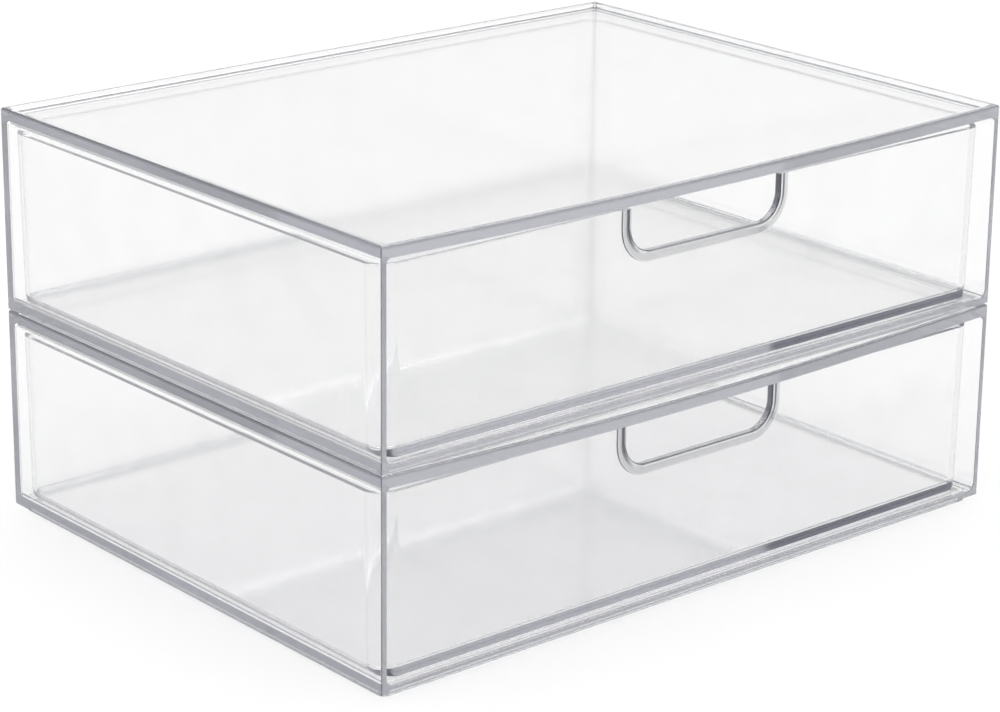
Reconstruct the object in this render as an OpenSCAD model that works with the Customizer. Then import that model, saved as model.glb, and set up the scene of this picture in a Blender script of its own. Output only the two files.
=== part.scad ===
// Stack of two identical clear boxes. Each box is an open-fronted casing with one tray drawer.
// Units are millimetres. Z is up, the fronts face -Y, and the origin is under the middle of the base.

/* [Overall size] */
// Width of one box, side to side
unit_width = 305; // [200:1:400]
// Depth of one box, front to back
unit_depth = 234; // [160:1:340]
// Height of one box, from the foot of its base ring to the top of its rim
unit_height = 83; // [60:1:140]

/* [Casing] */
// Thickness of the side and back walls
casing_wall = 2.4; // [1.8:0.1:4]
// Thickness of the top panel
top_thickness = 2.8; // [2:0.1:4]
// Thickness of the floor
floor_thickness = 2.8; // [2:0.1:4]
// Height of the raised rim round the top
rim_height = 2; // [1:0.1:4]
// Width of the base ring
ring_width = 2.4; // [1.6:0.1:6]
// Rounding of the two back corners, seen from above
back_radius = 1; // [0.5:0.5:5]
// Rounding of the corners of the front opening
opening_radius = 3; // [1:0.5:5]
// Bow of the upper box's top edge at the middle of its front
upper_sag = 1.9; // [0.5:0.1:3]
// Bow of the lower box's top edge, which carries the other box
lower_sag = 2.7; // [0.5:0.1:3]

/* [Drawer] */
// Thickness of the drawer walls
drawer_wall = 2.2; // [1.6:0.1:4]
// Thickness of the drawer bottom
drawer_floor = 2.4; // [1.6:0.1:4]
// Rounding of the drawer's upright corners
drawer_radius = 8; // [4:0.5:20]
// How much rounder the drawer's lower side edges are than the corners of the opening
bottom_extra = 2; // [0.3:0.1:3]
// Rounding of the drawer's lower front and back edges
front_edge_radius = 1; // [0.5:0.5:4]
// Extra material inside the drawer's lower edges, beyond its wall
corner_fill = 1.5; // [0:0.1:2]
// How far the drawer front stands behind the casing's front edge
front_recess = 4.5; // [2:0.1:12]

/* [Finger cut-out] */
// Width of the cut-out in the drawer's front
pull_width = 74; // [50:1:120]
// Depth of the cut-out below the drawer's top edge
pull_depth = 17; // [12:0.5:30]
// Rounding of the cut-out's two lower corners
pull_radius = 10; // [5:0.5:12]
// Width of the bead round the cut-out
bead_width = 4.3; // [2:0.1:8]
// How far the bead stands out from the drawer's front
bead_height = 0.8; // [0.4:0.1:1.5]

/* [Clearances] */
// Gap between each side of the drawer and the casing
side_clearance = 0.7; // [0.4:0.1:1.5]
// Gap behind the drawer when it is shut
back_clearance = 1; // [0.5:0.1:3]
// Gap between the drawer's top edge and the flat part of the top panel
top_clearance = 3.9; // [3.5:0.1:6]
// Gap between the base ring and the rim of the box below
ring_clearance = 0.4; // [0.3:0.1:1]
// Gap between the walls of a box and the rim of the box below
rim_gap = 0.4; // [0.3:0.1:2]

/* [Hidden] */
$fn = 96;
past = 1;
pocket_radius = 1;
ring_radius = 2;
front_y = -unit_depth / 2;
back_y = unit_depth / 2;
ring_height = rim_height + rim_gap;
panel_top = unit_height - rim_height;
panel_under = panel_top - top_thickness;
floor_top = ring_height + floor_thickness;
stack_pitch = panel_top;
pocket_width = unit_width - 2 * casing_wall;
pocket_depth = unit_depth - 2 * casing_wall;
ring_w = pocket_width - 2 * ring_clearance;
ring_d = pocket_depth - 2 * ring_clearance;
bow_reach = pocket_depth - 2 * casing_wall;
bay_width = unit_width - 2 * casing_wall;
bay_depth = unit_depth - casing_wall;
bay_height = panel_under - floor_top;
drawer_width = bay_width - 2 * side_clearance;
drawer_front = front_y + front_recess;
drawer_back = back_y - casing_wall - back_clearance;
drawer_depth = drawer_back - drawer_front;
drawer_mid = (drawer_back + drawer_front) / 2;
drawer_base = floor_top;
drawer_top = panel_under - top_clearance;
drawer_height = drawer_top - drawer_base;
bottom_radius = opening_radius + bottom_extra;
inner_radius = max(1, bottom_radius - drawer_wall - corner_fill);
clear_body = [0.86, 0.89, 0.93, 0.35];
clear_tray = [0.9, 0.92, 0.95, 0.35];

// Rectangle with four rounded corners, centred on the origin
module soft_rect(w, d, r) {
    square([w - 2 * r, d], center = true);
    square([w, d - 2 * r], center = true);
    for (sx = [-1, 1], sy = [-1, 1])
        translate([sx * (w / 2 - r), sy * (d / 2 - r)]) circle(r = r);
}

// Rectangle with two rounded lower corners, standing on the line y = 0 and centred on x = 0
module tub_rect(w, h, r) {
    translate([-w / 2 + r, 0]) square([w - 2 * r, h]);
    translate([-w / 2, r]) square([w, h - r]);
    intersection() {
        for (sx = [-1, 1]) translate([sx * (w / 2 - r), r]) circle(r = r);
        translate([-w / 2, 0]) square([w, h]);
    }
}

// Outline of the casing seen from above, with square front corners and rounded back ones
module casing_outline() {
    translate([-unit_width / 2, front_y]) square([unit_width, unit_depth - back_radius]);
    translate([-unit_width / 2 + back_radius, front_y]) square([unit_width - 2 * back_radius, unit_depth]);
    for (sx = [-1, 1])
        translate([sx * (unit_width / 2 - back_radius), back_y - back_radius]) circle(r = back_radius);
}

// Space above a top that bows down by sag at the middle of the front and is flat at the back
module above_bow(level, sag) {
    bow_radius = (bay_width / 2) * (bay_width / 2) / (2 * sag);
    bow_tilt = atan(sag / bow_reach);
    translate([0, front_y, level - sag])
        rotate([bow_tilt, 0, 0])
        translate([0, -past, bow_radius])
        rotate([-90, 0, 0])
        cylinder(r = bow_radius, h = unit_depth + 4 * past, $fn = 720);
}

// Space inside the raised rim
module rim_pocket(sag) {
    translate([0, 0, panel_top])
        linear_extrude(height = rim_height + past)
        soft_rect(pocket_width, pocket_depth, pocket_radius);
    intersection() {
        translate([0, 0, panel_under])
            linear_extrude(height = top_thickness + past)
            soft_rect(pocket_width, pocket_depth, pocket_radius);
        above_bow(panel_top, sag);
    }
}

// Space the drawer slides in
module bay(sag) {
    difference() {
        translate([0, back_y - casing_wall, floor_top + bay_height / 2])
            rotate([90, 0, 0])
            linear_extrude(height = bay_depth + past) soft_rect(bay_width, bay_height, opening_radius);
        above_bow(panel_under, sag);
    }
}

// Ring under the floor that drops inside the rim of the box below
module base_ring() {
    linear_extrude(height = ring_height + floor_thickness / 2) difference() {
        soft_rect(ring_w, ring_d, ring_radius);
        soft_rect(ring_w - 2 * ring_width, ring_d - 2 * ring_width, ring_radius / 2);
    }
}

// One open-fronted casing with its base ring and rim
module casing(sag) {
    difference() {
        translate([0, 0, ring_height])
            linear_extrude(height = unit_height - ring_height) casing_outline();
        bay(sag);
        rim_pocket(sag);
        above_bow(unit_height, sag);
    }
    base_ring();
}

// Block that is rounded on its upright corners, its two lower side edges and its lower front and back edges
module tub(w, d, h, corner_r, side_r, end_r) {
    intersection() {
        linear_extrude(height = h) soft_rect(w, d, corner_r);
        translate([0, d / 2, 0]) rotate([90, 0, 0]) linear_extrude(height = d) tub_rect(w, h, side_r);
        translate([-w / 2, 0, 0])
            rotate([90, 0, 90]) linear_extrude(height = w) tub_rect(d, h, end_r);
    }
}

// Outline of the finger cut-out, grown by a margin, seen from the front
module pull_outline(margin) {
    translate([0, drawer_top - pull_depth - margin])
        tub_rect(pull_width + 2 * margin, pull_depth + margin, pull_radius + margin);
}

// One tray drawer with a beaded finger cut-out in its front
module drawer() {
    difference() {
        union() {
            translate([0, drawer_mid, drawer_base])
                tub(drawer_width, drawer_depth, drawer_height, drawer_radius, bottom_radius,
                    front_edge_radius);
            translate([0, drawer_front + drawer_wall / 2, 0])
                rotate([90, 0, 0])
                linear_extrude(height = bead_height + drawer_wall / 2) pull_outline(bead_width);
        }
        translate([0, drawer_mid, drawer_base + drawer_floor])
            tub(drawer_width - 2 * drawer_wall, drawer_depth - 2 * drawer_wall, drawer_height,
                drawer_radius - drawer_wall, inner_radius, inner_radius);
        translate([0, drawer_front + drawer_wall + past, 0])
            rotate([90, 0, 0])
            linear_extrude(height = bead_height + drawer_wall + 2 * past)
            union() {
                pull_outline(0);
                translate([-pull_width / 2, drawer_top - past]) square([pull_width, 2 * past]);
            }
    }
}

module lower_casing() {
    color(clear_body) casing(lower_sag);
}

module lower_drawer() {
    color(clear_tray) drawer();
}

module upper_casing() {
    color(clear_body) translate([0, 0, stack_pitch]) casing(upper_sag);
}

module upper_drawer() {
    color(clear_tray) translate([0, 0, stack_pitch]) drawer();
}

lower_casing();
lower_drawer();
upper_casing();
upper_drawer();
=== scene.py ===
"""A stack of two clear moulded boxes, each an open-fronted casing with one tray drawer.

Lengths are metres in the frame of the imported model: Z up, fronts facing -Y.
"""

import math

import bmesh
import bpy
from mathutils import Euler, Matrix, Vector


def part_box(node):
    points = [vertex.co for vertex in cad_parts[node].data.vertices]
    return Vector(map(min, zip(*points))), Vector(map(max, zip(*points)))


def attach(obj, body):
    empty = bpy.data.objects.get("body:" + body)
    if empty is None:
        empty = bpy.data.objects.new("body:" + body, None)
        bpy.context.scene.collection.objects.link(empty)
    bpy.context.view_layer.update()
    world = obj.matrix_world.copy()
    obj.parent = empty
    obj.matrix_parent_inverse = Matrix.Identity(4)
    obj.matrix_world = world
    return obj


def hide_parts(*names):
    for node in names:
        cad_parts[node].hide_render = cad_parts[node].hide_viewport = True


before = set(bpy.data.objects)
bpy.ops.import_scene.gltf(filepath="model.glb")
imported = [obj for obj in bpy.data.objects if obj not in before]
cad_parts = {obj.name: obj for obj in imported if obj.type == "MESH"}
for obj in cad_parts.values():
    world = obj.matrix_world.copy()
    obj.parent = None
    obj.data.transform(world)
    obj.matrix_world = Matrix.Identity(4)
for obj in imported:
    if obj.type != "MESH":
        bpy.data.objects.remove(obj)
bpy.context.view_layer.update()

MM = 0.001

# Casing: walls and the roundings of its edges
CASING_WALL = 2.4 * MM
TOP_THICKNESS = 2.8 * MM
FLOOR_THICKNESS = 2.8 * MM
RIM_HEIGHT = 2.0 * MM
RING_DROP = 2.4 * MM
RING_WIDTH = 2.4 * MM
RING_INSET = 2.8 * MM
RING_RADIUS = 2.0 * MM
RING_ROUND = 0.4 * MM
BACK_RADIUS = 1.0 * MM
FRONT_RADIUS = 0.5 * MM
FOOT_ROUND = 0.5 * MM
RIM_ROUND = 1.2 * MM
OPENING_RADIUS = 2.0 * MM
OPENING_FOOT_RADIUS = 3.0 * MM
MOUTH_ROUND = 0.35 * MM
BAY_BACK_ROUND = 2.0 * MM
POCKET_CORNER = 1.6 * MM
POCKET_FILLET = 1.2 * MM
POCKET_MOUTH = 0.35 * MM

# Drawer: walls and the roundings of its edges
DRAWER_WALL = 2.2 * MM
DRAWER_FLOOR = 2.4 * MM
DRAWER_RADIUS = 8.0 * MM
DRAWER_FOOT_ROUND = 0.6 * MM
DRAWER_SIDE_ROUND = 5.0 * MM
DRAWER_INNER_ROUND = 2.2 * MM
DRAWER_OUTER_TOP = 0.3 * MM
DRAWER_INNER_TOP = 0.7 * MM
FRONT_LEAN = 0.2 * MM
SIDE_LEAN = 1.0 * MM

# Finger cut-out with a lip round it, a low bead outside the lip and a narrow step between the two
PULL_WIDTH = 74 * MM
PULL_DEPTH = 17 * MM
PULL_RADIUS = 10 * MM
LIP_WIDTH = 1.8 * MM
LIP_PROUD = 0.8 * MM
LIP_ROUND = 0.65 * MM
STEP_WIDTH = 0.5 * MM
STEP_PROUD = 0.63 * MM
STEP_ROUND = 0.02 * MM
BEAD_INSET = 0.3 * MM
BEAD_WIDTH = 4.0 * MM
BEAD_PROUD = 0.6 * MM
BEAD_ROUND = 0.5 * MM

# How far the clear faces of stacked pieces stay apart, so that light sees both
SKIN_GAP = 0.08 * MM

# How far a cutting shape reaches past the face that it cuts
PAST = 3 * MM

# Straight stretches in a quarter of an outline's corner, and in a quarter of an edge's rounding
ARC_STEPS = 8
EDGE_STEPS = 5

# The least radius that a corner tightens to, and the radius of a corner that is left nearly sharp
LEAST_RADIUS = 0.05 * MM
NEARLY_SHARP = 0.1 * MM

# Points closer than this are one point, for whole meshes and for the bow's slices (metres)
MERGE_WITHIN = 1e-7
SLICE_WITHIN = 1e-6

# Bow of each box's top at the middle of its front, and the slices that let it bend
SAG = {"upper": 1.9 * MM, "lower": 3.0 * MM}
BOW_STEPS_ACROSS = 14
BOW_STEPS_ALONG = 5
BOW_SLICE_MARGIN = 0.1 * MM
BOW_BEND_MARGIN = 0.2 * MM

# Shading: edges that turn by more than this are sharp (degrees), and large faces set the normals
SHARP_ANGLE = 34
LARGE_FACE_WEIGHT = 100

# A face narrower than FINE_FACE belongs to a small rounding, and gets painted shade by how far it leans,
# less where it faces up
FINE_FACE = 0.3 * MM
FULL_LEAN = 0.15

# Painted shade: how strongly some faces are tinted towards the dark shade colour: the upright faces of
# the cut-out, the foot ring's front and sides, the bead and step, and the flat of the lip
CUT_SHADE = 0.8
RING_SHADE = 1.6
RING_SIDE_SHADE = 2.25
BEAD_SHADE = 0.5
LIP_SHADE = 0.25
LIP_INNER_SHARE = 0.7
BEAD_OUTER_SHARE = 0.6

# How much of a face's normal lies along an axis, for it to count as facing that way
HALF_WAY = 0.5
SIDEWAYS = 0.9
FORWARDS = 0.3

# Clear plastic: finish, bending of light, what it takes from light on long paths, and painted shade
ROUGHNESS = 0.05
REFRACTION = 1.57
PLASTIC_COLOUR = (0.70, 0.71, 0.76)
PLASTIC_DENSITY = 6.0
# Painted shade: the dark colour that marked faces are tinted towards
EDGE_SHADE_COLOUR = (0.04, 0.045, 0.06)
SHADOW_COLOUR = (0.95, 0.95, 0.955)
FILM = {"casing": 0.012, "drawer": 0.02}
# Painted shade: how strongly the marked faces of each part take that colour
EDGE_SHADE_SHARE = {"casing": 0.3, "drawer": 1.0}

# Surface left by the mould: how closely waves, ripples and film vary, and how high the first two are
WAVE_SCALE = 28.0
WAVE_HEIGHT = 0.02 * MM
RIPPLE_SCALE = 260.0
RIPPLE_HEIGHT = 0.0004 * MM
SURFACE_DETAIL = 1.0
FILM_SCALE = 55.0
FILM_DETAIL = 5.0
FILM_FROM = 0.45
FILM_TO = 0.75

# Light that enters a wall's edge bounces along inside the wall many times before it leaves
LIGHT_BOUNCES = 256

# Brightness of the surroundings by height: (sine of the elevation, brightness)
SKY = ((0.40, 1.0), (0.48, 0.35), (0.58, 0.35), (0.72, 5.0))
BRIGHTEST = 5.0
DARK_RED = 0.97
DARK_BLUE = 1.07

# Light that has bounced off more than GUIDED_BOUNCES surfaces sees dark cards at the
# sides, up to CARD_TOP, and a dimmer panel overhead, from PANEL_FOOT up (sines of the elevation)
GUIDED_BOUNCES = 1.5
GUIDED_LOSS = 0.85
CARD_FROM = 0.86
CARD_TO = 0.94
CARD_TOP = 0.4
PANEL_FOOT = 0.6
PANEL_LOSS = 0.9
MIRROR_LOSS = 0.06

# Floor: size, how far it lies below the foot, its share of the light overhead, and its own glow
FLOOR_REACH = 30.0
FLOOR_DROP = 0.3 * MM
FLOOR_LIT = 0.17
FLOOR_GLOW = 0.52

# Camera: place, angles (degrees), and a focal length in pixels of a picture PICTURE_WIDTH wide
CAMERA_PLACE = (-0.77352, -0.90295, 0.46749)
CAMERA_AZIMUTH = 40.553
CAMERA_DROP = 17.732
CAMERA_ROLL = 0.61
FOCAL_PIXELS = 3191.2
PICTURE_WIDTH = 1000
SENSOR_WIDTH = 36
LENS_SHIFT = -0.06
VIEW_REACH = 200

WHITE = (1, 1, 1, 1)


def rounded_loop(x0, x1, y0, y1, radii):
    """Points round a rectangle, anticlockwise from its lower left corner, with a radius for each corner."""
    corners = [(x0, y0), (x1, y0), (x1, y1), (x0, y1)]
    inward = [(1, 1), (-1, 1), (-1, -1), (1, -1)]
    points = []
    for i, ((cx, cy), (sx, sy), r) in enumerate(zip(corners, inward, radii)):
        for k in range(ARC_STEPS + 1):
            a = math.pi + math.pi / 2 * (i + k / ARC_STEPS)
            points.append((cx + sx * r + r * math.cos(a), cy + sy * r + r * math.sin(a)))
    return points


def inset_loop(box, inset, radii):
    """A rounded loop drawn in by an inset all round, its corners tightening with it."""
    x0, x1, y0, y1 = box
    return rounded_loop(x0 + inset, x1 - inset, y0 + inset, y1 - inset,
                        [max(r - inset, LEAST_RADIUS) for r in radii])


def inset_at(rise, radius):
    """How far a quarter round of this radius stands in from the side at a height above its foot."""
    down = max(0.0, radius - rise)
    return radius - math.sqrt(radius * radius - down * down)


def quarter(radius):
    """(inset, rise) pairs of a quarter round, from lying flat to standing upright."""
    for k in range(EDGE_STEPS + 1):
        a = math.pi / 2 * k / EDGE_STEPS
        yield radius * (1 - math.sin(a)), radius * (1 - math.cos(a))


def loft(name, loops):
    """Skins a list of loops of 3-D points and caps its two ends."""
    bm = bmesh.new()
    rings = [[bm.verts.new(p) for p in loop] for loop in loops]
    for a, b in zip(rings, rings[1:]):
        for k in range(len(a)):
            n = (k + 1) % len(a)
            bm.faces.new((a[k], a[n], b[n], b[k]))
    bm.faces.new(reversed(rings[0]))
    bm.faces.new(rings[-1])
    bmesh.ops.remove_doubles(bm, verts=bm.verts, dist=MERGE_WITHIN)
    bmesh.ops.recalc_face_normals(bm, faces=bm.faces)
    mesh = bpy.data.meshes.new(name)
    bm.to_mesh(mesh)
    bm.free()
    ob = bpy.data.objects.new(name, mesh)
    bpy.context.scene.collection.objects.link(ob)
    return ob


def level(points, z):
    """Lays a flat outline at height z."""
    return [(x, y, z) for x, y in points]


def upright(points, y):
    """Stands a flat outline in the plane at y, its second number becoming height."""
    return [(x, y, z) for x, z in points]


def evaluated_mesh(ob):
    """The mesh that an object's modifiers make."""
    deps = bpy.context.evaluated_depsgraph_get()
    deps.update()
    return bpy.data.meshes.new_from_object(ob.evaluated_get(deps), depsgraph=deps,
                                           preserve_all_data_layers=True)


def combine(base, parts):
    """Joins or cuts the base with each (operation, object) in turn, and drops the objects used."""
    for operation, part in parts:
        cut = base.modifiers.new(operation, "BOOLEAN")
        cut.operation = operation
        cut.solver = "EXACT"
        cut.object = part
    mesh = evaluated_mesh(base)
    base.modifiers.clear()
    base.data = mesh
    for _, part in parts:
        bpy.data.objects.remove(part)
    return base


def slice_mesh(mesh, xs, ys, above):
    """Adds edges where upright planes cross the mesh's faces above a height, so that it can bend there."""
    bm = bmesh.new()
    bm.from_mesh(mesh)
    for places, normal in ((xs, (1, 0, 0)), (ys, (0, 1, 0))):
        for place in places:
            faces = [f for f in bm.faces if max(v.co.z for v in f.verts) > above]
            edges = {e for f in faces for e in f.edges}
            verts = {v for f in faces for v in f.verts}
            bmesh.ops.bisect_plane(bm, geom=[*faces, *edges, *verts], plane_no=normal,
                                   plane_co=Vector(normal) * place, dist=SLICE_WITHIN)
    bm.to_mesh(mesh)
    bm.free()


def finish_surface(ob, material):
    """Smooth shading that leaves flat faces flat: the rounded edges take up all of the turn."""
    mesh = ob.data
    mesh.validate()
    for p in mesh.polygons:
        p.use_smooth = True
    mesh.set_sharp_from_angle(angle=math.radians(SHARP_ANGLE))
    weighted = ob.modifiers.new("Weighted normals", "WEIGHTED_NORMAL")
    weighted.mode = "FACE_AREA"
    weighted.weight = LARGE_FACE_WEIGHT
    weighted.keep_sharp = True
    mesh = evaluated_mesh(ob)
    ob.modifiers.clear()
    ob.data = mesh
    # Painted shade on the faces of small roundings, kept as a face attribute
    mark_edge_shade(mesh)
    mesh.materials.clear()
    mesh.materials.append(material)
    return ob


def mark_edge_shade(mesh):
    """Stores painted shade for each face of a small rounding, 0 to 1: more the further it turns from the
    flats, less the more it faces up, as if lit from above.
    """
    marks = mesh.attributes.new("edge", "FLOAT", "FACE")
    for p in mesh.polygons:
        places = [mesh.vertices[i].co for i in p.vertices]
        longest = max((a - b).length for a, b in zip(places, places[1:] + places[:1]))
        lean = 1 - max(abs(c) for c in p.normal)
        unlit_from_above = 1 - max(0.0, p.normal.z)
        fine = p.area < FINE_FACE * longest
        marks.data[p.index].value = min(1.0, lean / FULL_LEAN) * unlit_from_above if fine else 0.0


# ---------------------------------------------------------------- Geometry Nodes: swept edges

def sweep_tree():
    """A tree that rounds a path's corners and sweeps a soft-edged bar along it."""
    tree = bpy.data.node_groups.new("Swept bar", "GeometryNodeTree")
    face = tree.interface
    face.new_socket("Geometry", in_out="INPUT", socket_type="NodeSocketGeometry")
    for name in ("Corner Radius", "Bar Width", "Bar Depth", "Bar Rounding"):
        face.new_socket(name, in_out="INPUT", socket_type="NodeSocketFloat")
    face.new_socket("Material", in_out="INPUT", socket_type="NodeSocketMaterial")
    face.new_socket("Geometry", in_out="OUTPUT", socket_type="NodeSocketGeometry")
    node, link = tree.nodes.new, tree.links.new
    given, out = node("NodeGroupInput"), node("NodeGroupOutput")
    bend = node("GeometryNodeFilletCurve")
    bend.mode = "POLY"
    bend.inputs["Count"].default_value = 2 * ARC_STEPS
    section = node("GeometryNodeCurvePrimitiveQuadrilateral")
    soften = node("GeometryNodeFilletCurve")
    soften.mode = "POLY"
    soften.inputs["Count"].default_value = EDGE_STEPS
    sweep = node("GeometryNodeCurveToMesh")
    sweep.inputs["Fill Caps"].default_value = True
    real, coat = node("GeometryNodeRealizeInstances"), node("GeometryNodeSetMaterial")
    link(given.outputs["Geometry"], bend.inputs["Curve"])
    link(given.outputs["Corner Radius"], bend.inputs["Radius"])
    link(given.outputs["Bar Width"], section.inputs["Width"])
    link(given.outputs["Bar Depth"], section.inputs["Height"])
    link(section.outputs["Curve"], soften.inputs["Curve"])
    link(given.outputs["Bar Rounding"], soften.inputs["Radius"])
    link(bend.outputs["Curve"], sweep.inputs["Curve"])
    link(soften.outputs["Curve"], sweep.inputs["Profile Curve"])
    link(sweep.outputs["Mesh"], real.inputs["Geometry"])
    link(real.outputs["Geometry"], coat.inputs["Geometry"])
    link(given.outputs["Material"], coat.inputs["Material"])
    link(coat.outputs["Geometry"], out.inputs["Geometry"])
    return tree


def swept_bar(name, tree, path, closed, material, **sizes):
    """Sweeps a bar along straight-sided path points, by the tree above."""
    curve = bpy.data.curves.new(name, "CURVE")
    curve.dimensions = "3D"
    spline = curve.splines.new("POLY")
    spline.points.add(len(path) - 1)
    for point, place in zip(spline.points, path):
        point.co = (*place, 1)
    spline.use_cyclic_u = closed
    ob = bpy.data.objects.new(name, curve)
    bpy.context.scene.collection.objects.link(ob)
    mod = ob.modifiers.new("Sweep", "NODES")
    mod.node_group = tree
    sockets = {s.name: s.identifier for s in tree.interface.items_tree if s.in_out == "INPUT"}
    for key, value in sizes.items():
        mod[sockets[key.replace("_", " ")]] = value
    mod[sockets["Material"]] = material
    mesh = evaluated_mesh(ob)
    bpy.data.objects.remove(ob)
    bm = bmesh.new()
    bm.from_mesh(mesh)
    bmesh.ops.remove_doubles(bm, verts=bm.verts, dist=MERGE_WITHIN)
    bmesh.ops.recalc_face_normals(bm, faces=bm.faces)
    bm.to_mesh(mesh)
    bm.free()
    made = bpy.data.objects.new(name, mesh)
    bpy.context.scene.collection.objects.link(made)
    return made


# ---------------------------------------------------------------- materials

def plain_material(name):
    """A new material with an empty node tree and its output."""
    mat = bpy.data.materials.new(name)
    mat.use_nodes = True
    mat.node_tree.nodes.clear()
    return mat, mat.node_tree, mat.node_tree.nodes.new("ShaderNodeOutputMaterial")


def moulding_and_shade_tree():
    """A moulded face: faint waves, fine ripples, a thin uneven film, and painted shade, where marked faces
    are tinted towards a dark colour.
    """
    tree = bpy.data.node_groups.new("Moulded surface and painted shade", "ShaderNodeTree")
    face = tree.interface
    face.new_socket("Wave Size", in_out="INPUT", socket_type="NodeSocketFloat")
    face.new_socket("Film", in_out="INPUT", socket_type="NodeSocketFloat")
    face.new_socket("Edge", in_out="INPUT", socket_type="NodeSocketFloat")
    face.new_socket("Painted Shade Color", in_out="INPUT", socket_type="NodeSocketColor")
    face.new_socket("Color", in_out="OUTPUT", socket_type="NodeSocketColor")
    face.new_socket("Normal", in_out="OUTPUT", socket_type="NodeSocketVector")
    node, link = tree.nodes.new, tree.links.new
    given, out, where = node("NodeGroupInput"), node("NodeGroupOutput"), node("ShaderNodeTexCoord")

    def noise(scale, detail):
        field = node("ShaderNodeTexNoise")
        field.inputs["Scale"].default_value = scale
        field.inputs["Detail"].default_value = detail
        link(where.outputs["Object"], field.inputs["Vector"])
        return field.outputs["Fac"]

    ripples = node("ShaderNodeBump")
    ripples.inputs["Distance"].default_value = RIPPLE_HEIGHT
    link(noise(RIPPLE_SCALE, SURFACE_DETAIL), ripples.inputs["Height"])
    waves = node("ShaderNodeBump")
    link(given.outputs["Wave Size"], waves.inputs["Distance"])
    link(noise(WAVE_SCALE, SURFACE_DETAIL), waves.inputs["Height"])
    link(ripples.outputs["Normal"], waves.inputs["Normal"])
    link(waves.outputs["Normal"], out.inputs["Normal"])
    film = node("ShaderNodeMapRange")
    film.inputs["From Min"].default_value = FILM_FROM
    film.inputs["From Max"].default_value = FILM_TO
    film.inputs["To Min"].default_value = 1.0
    link(noise(FILM_SCALE, FILM_DETAIL), film.inputs["Value"])
    least = node("ShaderNodeMath")
    least.operation = "SUBTRACT"
    least.inputs[0].default_value = 1.0
    link(given.outputs["Film"], least.inputs[1])
    link(least.outputs[0], film.inputs["To Max"])
    # Painted shade: marked faces are tinted towards the dark colour, by their mark times the Edge strength
    marks, share, tint = node("ShaderNodeAttribute"), node("ShaderNodeMath"), node("ShaderNodeMix")
    marks.attribute_name = "edge"
    share.operation = "MULTIPLY"
    link(marks.outputs["Fac"], share.inputs[0])
    link(given.outputs["Edge"], share.inputs[1])
    tint.data_type = "RGBA"
    link(share.outputs[0], tint.inputs["Factor"])
    link(film.outputs[0], tint.inputs["A"])
    link(given.outputs["Painted Shade Color"], tint.inputs["B"])
    link(tint.outputs["Result"], out.inputs["Color"])
    return tree


def clear_plastic(name, group, film, edge):
    """Crystal-clear moulded plastic. Long paths inside it, as along a wall, come out grey. Marked faces
    carry painted shade in the base colour.
    """
    mat, tree, out = plain_material(name)
    nodes, link = tree.nodes, tree.links.new
    body = nodes.new("ShaderNodeBsdfPrincipled")
    body.inputs["Roughness"].default_value = ROUGHNESS
    body.inputs["IOR"].default_value = REFRACTION
    body.inputs["Transmission Weight"].default_value = 1.0
    face = nodes.new("ShaderNodeGroup")
    face.node_tree = group
    face.inputs["Wave Size"].default_value = WAVE_HEIGHT
    face.inputs["Film"].default_value = film
    # Painted shade: how strongly marked faces darken, and the dark colour that they go towards
    face.inputs["Edge"].default_value = edge
    face.inputs["Painted Shade Color"].default_value = (*EDGE_SHADE_COLOUR, 1)
    link(face.outputs["Color"], body.inputs["Base Color"])
    link(face.outputs["Normal"], body.inputs["Normal"])
    see = nodes.new("ShaderNodeBsdfTransparent")
    see.inputs["Color"].default_value = (*SHADOW_COLOUR, 1)
    path = nodes.new("ShaderNodeLightPath")
    either = nodes.new("ShaderNodeMath")
    either.operation = "MAXIMUM"
    mix = nodes.new("ShaderNodeMixShader")
    link(path.outputs["Is Shadow Ray"], either.inputs[0])
    link(path.outputs["Is Diffuse Ray"], either.inputs[1])
    link(either.outputs[0], mix.inputs[0])
    link(body.outputs[0], mix.inputs[1])
    link(see.outputs[0], mix.inputs[2])
    link(mix.outputs[0], out.inputs["Surface"])
    depth = nodes.new("ShaderNodeVolumeAbsorption")
    depth.inputs["Color"].default_value = (*PLASTIC_COLOUR, 1)
    depth.inputs["Density"].default_value = PLASTIC_DENSITY
    link(depth.outputs[0], out.inputs["Volume"])
    return mat


# ---------------------------------------------------------------- pieces

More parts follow.
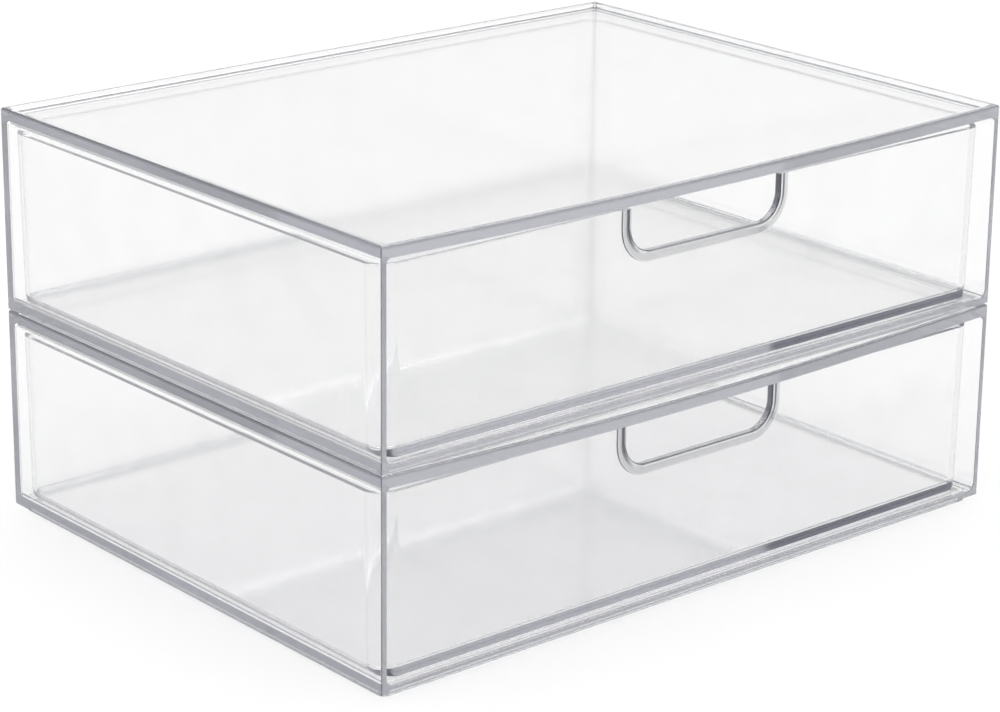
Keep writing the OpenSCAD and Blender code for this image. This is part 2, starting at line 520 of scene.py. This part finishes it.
def casing(name, sag, tree, material):
    """One open-fronted casing in the place of its CAD node."""
    lo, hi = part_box(name)
    foot = lo.z + RING_DROP
    panel_top = hi.z - RIM_HEIGHT
    panel_under = panel_top - TOP_THICKNESS
    floor_top = foot + FLOOR_THICKNESS
    outline = (lo.x, hi.x, lo.y, hi.y)
    corners = (FRONT_RADIUS, FRONT_RADIUS, BACK_RADIUS, BACK_RADIUS)
    shell = loft(name + "_shell", [
        *[level(inset_loop(outline, i, corners), foot + z) for i, z in quarter(FOOT_ROUND)],
        *[level(inset_loop(outline, i, corners), hi.z - z) for i, z in reversed(list(quarter(RIM_ROUND)))],
    ])
    inner = (lo.x + CASING_WALL, hi.x - CASING_WALL, floor_top, panel_under)
    bay_corners = [OPENING_FOOT_RADIUS, OPENING_FOOT_RADIUS, OPENING_RADIUS, OPENING_RADIUS]
    bay_back = hi.y - CASING_WALL
    bay = loft("bay", [
        upright(inset_loop(inner, -MOUTH_ROUND, bay_corners), lo.y - PAST),
        *[upright(inset_loop(inner, -i, bay_corners), lo.y + z) for i, z in quarter(MOUTH_ROUND)],
        *[upright(inset_loop(inner, i, bay_corners), bay_back - z)
          for i, z in reversed(list(quarter(BAY_BACK_ROUND)))],
    ])
    rim = (lo.x + CASING_WALL, hi.x - CASING_WALL, lo.y + CASING_WALL, hi.y - CASING_WALL)
    rim_corners = [POCKET_CORNER] * 4
    pocket = loft("pocket", [
        *[level(inset_loop(rim, i, rim_corners), panel_top + z) for i, z in quarter(POCKET_FILLET)],
        *[level(inset_loop(rim, -i, rim_corners), hi.z - z)
          for i, z in reversed(list(quarter(POCKET_MOUTH)))],
        level(inset_loop(rim, -POCKET_MOUTH, rim_corners), hi.z + PAST),
    ])
    half = RING_WIDTH / 2
    ring_top = foot + FLOOR_THICKNESS / 2
    ring_low = lo.z + SKIN_GAP
    rx = hi.x - RING_INSET - half
    ry = hi.y - RING_INSET - half
    mid_z = (ring_top + ring_low) / 2
    ring_path = [(-rx, -ry, mid_z), (rx, -ry, mid_z), (rx, ry, mid_z), (-rx, ry, mid_z)]
    ring = swept_bar("foot_ring", tree, ring_path, True, material, Corner_Radius=RING_RADIUS,
                     Bar_Width=RING_WIDTH, Bar_Depth=ring_top - ring_low, Bar_Rounding=RING_ROUND)
    whole = combine(shell, [("UNION", ring), ("DIFFERENCE", bay), ("DIFFERENCE", pocket)])
    bow_top(whole.data, lo, hi, panel_under, sag)
    whole.name = name + "_clear"
    finish_surface(whole, material)
    # Painted shade: the foot ring's upright faces are tinted dark, more so on its sides
    marks = whole.data.attributes["edge"]
    for p in whole.data.polygons:
        if p.center.z < foot and abs(p.normal.z) < HALF_WAY:
            marks.data[p.index].value = RING_SIDE_SHADE if abs(p.normal.x) > HALF_WAY else RING_SHADE
    return whole


def bow_top(mesh, lo, hi, panel_under, sag):
    """Bends the top panel and its front rim down towards the middle of the front edge."""
    half = hi.x - CASING_WALL
    slice_mesh(mesh, xs=[half * (2 * k / BOW_STEPS_ACROSS - 1) for k in range(1, BOW_STEPS_ACROSS)],
               ys=[lo.y + (hi.y - lo.y) * k / BOW_STEPS_ALONG for k in range(1, BOW_STEPS_ALONG)],
               above=panel_under - BOW_SLICE_MARGIN)
    reach = hi.y - lo.y - 4 * CASING_WALL
    for v in mesh.vertices:
        if v.co.z < panel_under - MOUTH_ROUND - BOW_BEND_MARGIN:
            continue
        across = max(0.0, 1 - (v.co.x / half) ** 2)
        along = min(1.0, max(0.0, 1 - (v.co.y - lo.y) / reach))
        v.co.z -= sag * across * along


def drawer(name, tree, material):
    """One tray drawer in the place of its CAD node."""
    lo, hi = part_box(name)
    front, back = lo.y + LIP_PROUD, hi.y
    base, top = lo.z + SKIN_GAP, hi.z
    outline = (lo.x, hi.x, front, back)
    corners = [DRAWER_RADIUS] * 4
    rises = sorted({z for r in (DRAWER_FOOT_ROUND, DRAWER_SIDE_ROUND) for _, z in quarter(r)})
    foot = []
    for z in rises:
        along, across = inset_at(z, DRAWER_FOOT_ROUND), inset_at(z, DRAWER_SIDE_ROUND)
        narrow = (lo.x + across, hi.x - across, front + along, back - along)
        foot.append(level(inset_loop(narrow, 0, [DRAWER_RADIUS - max(along, across)] * 4), base + z))
    tray = loft(name + "_tray", [
        *foot,
        *[level(inset_loop(outline, i, corners), top - z)
          for i, z in reversed(list(quarter(DRAWER_OUTER_TOP)))],
        *[level(inset_loop(outline, DRAWER_WALL - i, corners), top - z)
          for i, z in quarter(DRAWER_INNER_TOP)],
        *[level(inset_loop(outline, DRAWER_WALL + i, corners), base + DRAWER_FLOOR + z)
          for i, z in reversed(list(quarter(DRAWER_INNER_ROUND)))],
    ])

    def bar(piece, start, width, depth, proud, rounding):
        out = start + width / 2
        x, low, high = PULL_WIDTH / 2 + out, top - PULL_DEPTH - out, top - SKIN_GAP
        y = front - proud + depth / 2
        path = [(-x, y, high), (-x, y, low), (x, y, low), (x, y, high)]
        return swept_bar(piece, tree, path, False, material, Corner_Radius=PULL_RADIUS + out,
                         Bar_Width=width, Bar_Depth=depth, Bar_Rounding=rounding)

    within = LIP_WIDTH / 2
    hole_corners = [PULL_RADIUS + within, PULL_RADIUS + within, NEARLY_SHARP, NEARLY_SHARP]
    hole = rounded_loop(-PULL_WIDTH / 2 - within, PULL_WIDTH / 2 + within,
                        top - PULL_DEPTH - within, top + PAST, hole_corners)
    cutter = loft("pull", [upright(hole, front - PAST), upright(hole, front + DRAWER_WALL + PAST)])
    lip = bar("lip", 0, LIP_WIDTH, LIP_PROUD + DRAWER_WALL + SKIN_GAP, LIP_PROUD, LIP_ROUND)
    bead = bar("bead", BEAD_INSET, BEAD_WIDTH, BEAD_PROUD + DRAWER_WALL / 2, BEAD_PROUD, BEAD_ROUND)
    step = bar("step", LIP_WIDTH - STEP_WIDTH / 2, 1.5 * STEP_WIDTH, STEP_PROUD + DRAWER_WALL / 2,
               STEP_PROUD, STEP_ROUND)
    whole = combine(tray, [("DIFFERENCE", cutter), ("UNION", bead), ("UNION", step), ("UNION", lip)])
    height = top - base
    middle_y = (front + back) / 2
    for v in whole.data.vertices:
        down = 1 - (v.co.z - base) / height
        v.co.y -= FRONT_LEAN * down * (v.co.y - middle_y) / (back - middle_y)
        v.co.x -= SIDE_LEAN * down * v.co.x / hi.x
    whole.name = name + "_clear"
    finish_surface(whole, material)
    shade_cut_out(whole.data, top, front)
    return whole


def shade_cut_out(mesh, top, front):
    """Marks the upright faces of the finger cut-out, and its lip, step and bead from the inside out, with
    painted shade.
    """
    marks = mesh.attributes["edge"]
    for p in mesh.polygons:
        across = max(0.0, abs(p.center.x) - PULL_WIDTH / 2 + PULL_RADIUS)
        down = max(0.0, top - PULL_DEPTH + PULL_RADIUS - p.center.z)
        spread = math.hypot(across, down)
        out = spread - PULL_RADIUS
        if p.center.y > front + DRAWER_WALL + 1.0 * MM or spread == 0.0:
            continue
        if out < NEARLY_SHARP and abs(p.normal.x) > SIDEWAYS:
            marks.data[p.index].value = CUT_SHADE
        elif p.center.y < front - BEAD_PROUD / 2 and p.normal.y < -FORWARDS:
            if out < LIP_ROUND * LIP_INNER_SHARE:
                marks.data[p.index].value = 1.0
            elif out < LIP_WIDTH - LIP_ROUND:
                marks.data[p.index].value = LIP_SHADE
            elif out < LIP_WIDTH + STEP_WIDTH:
                marks.data[p.index].value = max(BEAD_SHADE, across / spread)
            elif out < BEAD_INSET + BEAD_WIDTH - BEAD_ROUND:
                marks.data[p.index].value = BEAD_SHADE
            else:
                marks.data[p.index].value *= BEAD_OUTER_SHARE


# ---------------------------------------------------------------- studio

def surroundings_tree():
    """Brightness seen in a direction: white low down, dark half way up, and a bright panel overhead.

    Light that has bounced more than once also sees dark cards at the sides and a dimmer panel.
    """
    tree = bpy.data.node_groups.new("Surroundings", "ShaderNodeTree")
    face = tree.interface
    face.new_socket("Direction", in_out="INPUT", socket_type="NodeSocketVector")
    face.new_socket("Bounced", in_out="INPUT", socket_type="NodeSocketFloat")
    face.new_socket("Mirrored", in_out="INPUT", socket_type="NodeSocketFloat")
    face.new_socket("Color", in_out="OUTPUT", socket_type="NodeSocketColor")
    node, link = tree.nodes.new, tree.links.new
    given, out = node("NodeGroupInput"), node("NodeGroupOutput")

    def maths(operation, a, b=None):
        step = node("ShaderNodeMath")
        step.operation = operation
        for socket, value in zip(step.inputs, (a, b)):
            if isinstance(value, (int, float)):
                socket.default_value = value
            elif value is not None:
                link(value, socket)
        return step.outputs[0]

    split = node("ShaderNodeSeparateXYZ")
    link(given.outputs["Direction"], split.inputs[0])
    x, y, z = split.outputs
    sky = node("ShaderNodeValToRGB")
    stops = sky.color_ramp.elements
    while len(stops) < len(SKY):
        stops.new(0.5)
    for stop, (place, value) in zip(stops, SKY):
        stop.position = place
        share = value / BRIGHTEST
        red, blue = (DARK_RED, DARK_BLUE) if value < 1 else (1, 1)
        stop.color = (share * red, share, share * blue, 1)
    link(z, sky.inputs[0])
    squares = maths("ADD", maths("MULTIPLY", x, x), maths("MULTIPLY", y, y))
    flat = maths("MAXIMUM", maths("SQRT", squares), 0.001)
    x, y = maths("DIVIDE", x, flat), maths("DIVIDE", y, flat)
    aside = maths("MAXIMUM", maths("ABSOLUTE", x), maths("MULTIPLY", y, -1))
    card = node("ShaderNodeMapRange")
    card.interpolation_type = "SMOOTHSTEP"
    card.inputs["From Min"].default_value = CARD_FROM
    card.inputs["From Max"].default_value = CARD_TO
    link(aside, card.inputs["Value"])
    carded = maths("MULTIPLY", card.outputs[0], maths("LESS_THAN", z, CARD_TOP))
    panel = maths("MULTIPLY", maths("GREATER_THAN", z, PANEL_FOOT), PANEL_LOSS)
    unlit = maths("MAXIMUM", carded, panel)
    guided = maths("MULTIPLY", maths("GREATER_THAN", given.outputs["Bounced"], GUIDED_BOUNCES), GUIDED_LOSS)
    mirrored = maths("MULTIPLY", given.outputs["Mirrored"], MIRROR_LOSS)
    shade = maths("MULTIPLY", maths("SUBTRACT", 1, maths("MULTIPLY", unlit, guided)),
                  maths("SUBTRACT", 1, mirrored))
    scale = node("ShaderNodeVectorMath")
    scale.operation = "SCALE"
    link(sky.outputs["Color"], scale.inputs[0])
    link(maths("MULTIPLY", shade, BRIGHTEST), scale.inputs["Scale"])
    link(scale.outputs[0], out.inputs["Color"])
    return tree


def seen_colour(tree, group):
    """Adds what is seen in a direction to a tree: white to the camera, the surroundings to other light.

    Returns the colour's socket and the light path node.
    """
    node, link = tree.nodes.new, tree.links.new
    path, around = node("ShaderNodeLightPath"), node("ShaderNodeGroup")
    around.node_tree = group
    facing = node("ShaderNodeNewGeometry")
    turn = node("ShaderNodeVectorMath")
    turn.operation = "SCALE"
    turn.inputs["Scale"].default_value = -1
    link(facing.outputs["Incoming"], turn.inputs[0])
    link(turn.outputs[0], around.inputs["Direction"])
    link(path.outputs["Glossy Depth"], around.inputs["Bounced"])
    link(path.outputs["Is Glossy Ray"], around.inputs["Mirrored"])
    seen = node("ShaderNodeMix")
    seen.data_type = "RGBA"
    seen.inputs["B"].default_value = WHITE
    link(path.outputs["Is Camera Ray"], seen.inputs["Factor"])
    link(around.outputs["Color"], seen.inputs["A"])
    return seen.outputs["Result"], path


def studio():
    """White floor and surroundings, as in a light tent."""
    scene = bpy.context.scene
    group = surroundings_tree()
    world = bpy.data.worlds.new("Studio")
    scene.world = world
    world.use_nodes = True
    tree = world.node_tree
    tree.nodes.clear()
    node, link = tree.nodes.new, tree.links.new
    out, sky = node("ShaderNodeOutputWorld"), node("ShaderNodeBackground")
    colour, _ = seen_colour(tree, group)
    link(colour, sky.inputs["Color"])
    link(sky.outputs[0], out.inputs["Surface"])

    mesh = bpy.data.meshes.new("floor")
    corners = [(-1, -1), (1, -1), (1, 1), (-1, 1)]
    mesh.from_pydata([(x * FLOOR_REACH, y * FLOOR_REACH, 0) for x, y in corners], [], [(0, 1, 2, 3)])
    floor = bpy.data.objects.new("floor", mesh)
    floor.location.z = -FLOOR_DROP
    scene.collection.objects.link(floor)
    mat, tree, out = plain_material("White floor")
    node, link = tree.nodes.new, tree.links.new
    colour, path = seen_colour(tree, group)
    lit, glow = node("ShaderNodeBsdfDiffuse"), node("ShaderNodeEmission")
    total = node("ShaderNodeAddShader")
    lit.inputs["Color"].default_value = (FLOOR_LIT, FLOOR_LIT, FLOOR_LIT, 1)
    link(colour, glow.inputs["Color"])
    dim = node("ShaderNodeMath")
    dim.operation = "SUBTRACT"
    dim.inputs[0].default_value = 1
    gain = node("ShaderNodeMath")
    gain.operation = "MULTIPLY"
    gain.inputs[1].default_value = FLOOR_GLOW
    link(path.outputs["Is Diffuse Ray"], dim.inputs[1])
    link(dim.outputs[0], gain.inputs[0])
    link(gain.outputs[0], glow.inputs["Strength"])
    link(lit.outputs[0], total.inputs[0])
    link(glow.outputs[0], total.inputs[1])
    link(total.outputs[0], out.inputs["Surface"])
    mesh.materials.append(mat)


def camera():
    """The camera, at the left of the front and a little above."""
    cam = bpy.data.objects.new("camera", bpy.data.cameras.new("camera"))
    bpy.context.scene.collection.objects.link(cam)
    cam.location = CAMERA_PLACE
    azimuth, drop, roll = (math.radians(a) for a in (CAMERA_AZIMUTH, CAMERA_DROP, CAMERA_ROLL))
    look = Euler((math.pi / 2 - drop, 0, -azimuth)).to_matrix() @ Euler((0, 0, roll)).to_matrix()
    cam.rotation_euler = look.to_euler()
    cam.data.sensor_width = SENSOR_WIDTH
    cam.data.lens = FOCAL_PIXELS * SENSOR_WIDTH / PICTURE_WIDTH
    cam.data.shift_y = LENS_SHIFT
    cam.data.clip_end = VIEW_REACH
    bpy.context.scene.camera = cam


def build():
    """The camera, the studio and the four pieces."""
    scene = bpy.context.scene
    scene.view_settings.view_transform = "Standard"
    for limit in ("max_bounces", "transmission_bounces", "glossy_bounces", "transparent_max_bounces"):
        setattr(scene.cycles, limit, LIGHT_BOUNCES)
    camera()
    studio()
    tree = sweep_tree()
    surface = moulding_and_shade_tree()
    plastic = {part: clear_plastic("Clear " + part, surface, FILM[part], EDGE_SHADE_SHARE[part])
               for part in ("casing", "drawer")}
    for level_name in ("lower", "upper"):
        for part in ("casing", "drawer"):
            node = f"{level_name}_{part}"
            if part == "casing":
                piece = casing(node, SAG[level_name], tree, plastic[part])
            else:
                piece = drawer(node, tree, plastic[part])
            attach(piece, node)
            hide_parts(node)


build()
